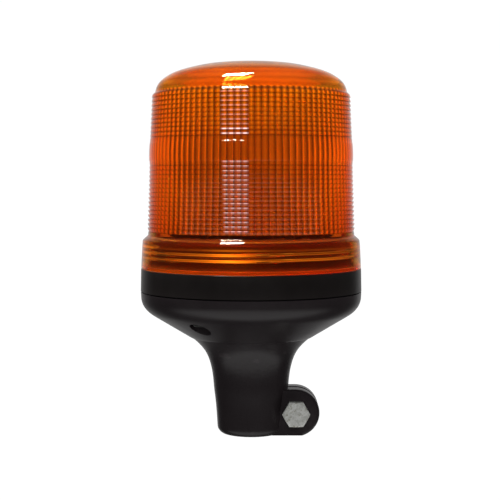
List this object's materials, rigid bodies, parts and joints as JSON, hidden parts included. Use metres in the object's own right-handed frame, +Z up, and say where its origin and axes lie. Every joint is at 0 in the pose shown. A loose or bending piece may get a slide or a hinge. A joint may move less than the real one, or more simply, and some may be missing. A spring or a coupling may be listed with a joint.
{
  "type": "warning beacon",
  "caption": "Amber rotating warning beacon on a flexible rubber neck with a one-bolt split clamp socket for an upright pole.",
  "frame": {"origin": "centre of the pole socket's mouth, on the socket's axis", "axes": "+Z up along the pole socket and the lens axis, -Y towards the front, +X towards the clamp ears"},
  "size_m": [0.1189, 0.1188, 0.1997],
  "materials": {
    "amber_lens": "clear moulded amber polycarbonate with prism rings outside and flutes inside",
    "seal_rubber": "soft black seal rubber",
    "black_plastic": "satin black moulded plastic",
    "mount_rubber": "satin black moulded rubber",
    "zinc_steel": "bright zinc plated steel",
    "contact_nylon": "natural nylon",
    "brass": "turned brass",
    "bronze": "sintered bronze",
    "spring_steel": "spring steel",
    "red_wire": "red insulated wire",
    "black_wire": "black insulated wire",
    "plated_sheet": "zinc plated sheet steel",
    "natural_acetal": "natural acetal",
    "ferrite": "ground ferrite",
    "reflector_mirror": "vacuum metallised",
    "socket_ceramic": "unglazed white ceramic",
    "bulb_glass": "clear quartz glass",
    "tungsten": "coiled tungsten",
    "suppressor_can": "blue sleeved capacitor"
  },
  "bodies": {
    "socket": {"flex_mount": "mount_rubber", "clamp_bolt": "zinc_steel", "contact_plug": "contact_nylon", "contact_spring": "spring_steel", "earth_strip": "brass", "feed_wire": "red_wire", "earth_wire": "black_wire"},
    "contact": {"contact_pin": "brass"},
    "nut_washer": {"clamp_washer": "zinc_steel"},
    "nut": {"clamp_nut": "zinc_steel"},
    "head": {"base_housing": "black_plastic", "breather_plug": "seal_rubber", "flange_screws": "zinc_steel", "flange_washers": "zinc_steel", "chassis_plate": "plated_sheet", "chassis_screws": "zinc_steel", "spindle_post": "plated_sheet", "post_rivets": "zinc_steel", "thrust_washer": "natural_acetal", "retaining_ring": "spring_steel", "motor_can": "plated_sheet", "motor_end_cap": "black_plastic", "motor_magnets": "ferrite", "motor_gasket": "seal_rubber", "motor_screws": "zinc_steel", "lamp_socket": "socket_ceramic", "lamp_base": "plated_sheet", "lamp_bulb": "bulb_glass", "lamp_filament": "tungsten", "lamp_lead_pos": "red_wire", "lamp_lead_neg": "black_wire", "terminal_block": "contact_nylon", "terminal_screws": "brass", "suppressor": "suppressor_can"},
    "pinion": {"motor_armature": "spring_steel", "drive_pinion": "brass"},
    "rotor": {"drive_gear": "natural_acetal", "rotor_bush": "bronze", "reflector_carrier": "black_plastic", "gear_screws": "zinc_steel", "reflector": "reflector_mirror", "reflector_screws": "zinc_steel"},
    "seal": {"lens_seal": "seal_rubber"},
    "lens_cover": {"lens": "amber_lens"}
  },
  "joints": [
    {"name": "neck_flex", "type": "hinge", "parent": "socket", "child": "head", "pos_m": [0, 0, 0.046], "axis": [0, 1, 0], "range_deg": [-20, 20], "stiffness_Nm_per_rad": 12, "deforming": ["flex_mount", "feed_wire", "earth_wire"]},
    {"name": "contact_travel", "type": "slide", "parent": "socket", "child": "contact", "axis": [0, 0, 1], "range_m": [0, 0.0025], "deforming": ["contact_spring"]},
    {"name": "nut_travel", "type": "slide", "parent": "socket", "child": "nut_washer", "axis": [0, 1, 0], "range_m": [0, 0.0038]},
    {"name": "nut_turn", "type": "hinge", "parent": "nut_washer", "child": "nut", "pos_m": [0.024, 0.0153, 0.012], "axis": [0, 1, 0], "range_deg": [0, 1080]},
    {"name": "rotor_spin", "type": "hinge", "parent": "head", "child": "rotor", "pos_m": [0, 0, 0.1], "axis": [0, 0, 1], "continuous": true},
    {"name": "pinion_spin", "type": "hinge", "parent": "head", "child": "pinion", "pos_m": [-0.03292, 0.00288, 0.09], "axis": [0, 0, 1], "continuous": true},
    {"name": "lens_rise", "type": "slide", "parent": "head", "child": "seal", "axis": [0, 0, 1], "range_m": [0, 0.0061]},
    {"name": "lens_turn", "type": "hinge", "parent": "seal", "child": "lens_cover", "pos_m": [0, 0, 0.1], "axis": [0, 0, 1], "range_deg": [0, 720]}
  ],
  "couplings": [
    {"joint": "nut_travel", "follows": "nut_turn", "m_per_rad": 0.00019894},
    {"joint": "pinion_spin", "follows": "rotor_spin", "ratio": -3.4},
    {"joint": "lens_rise", "follows": "lens_turn", "m_per_rad": 0.00047746}
  ]
}
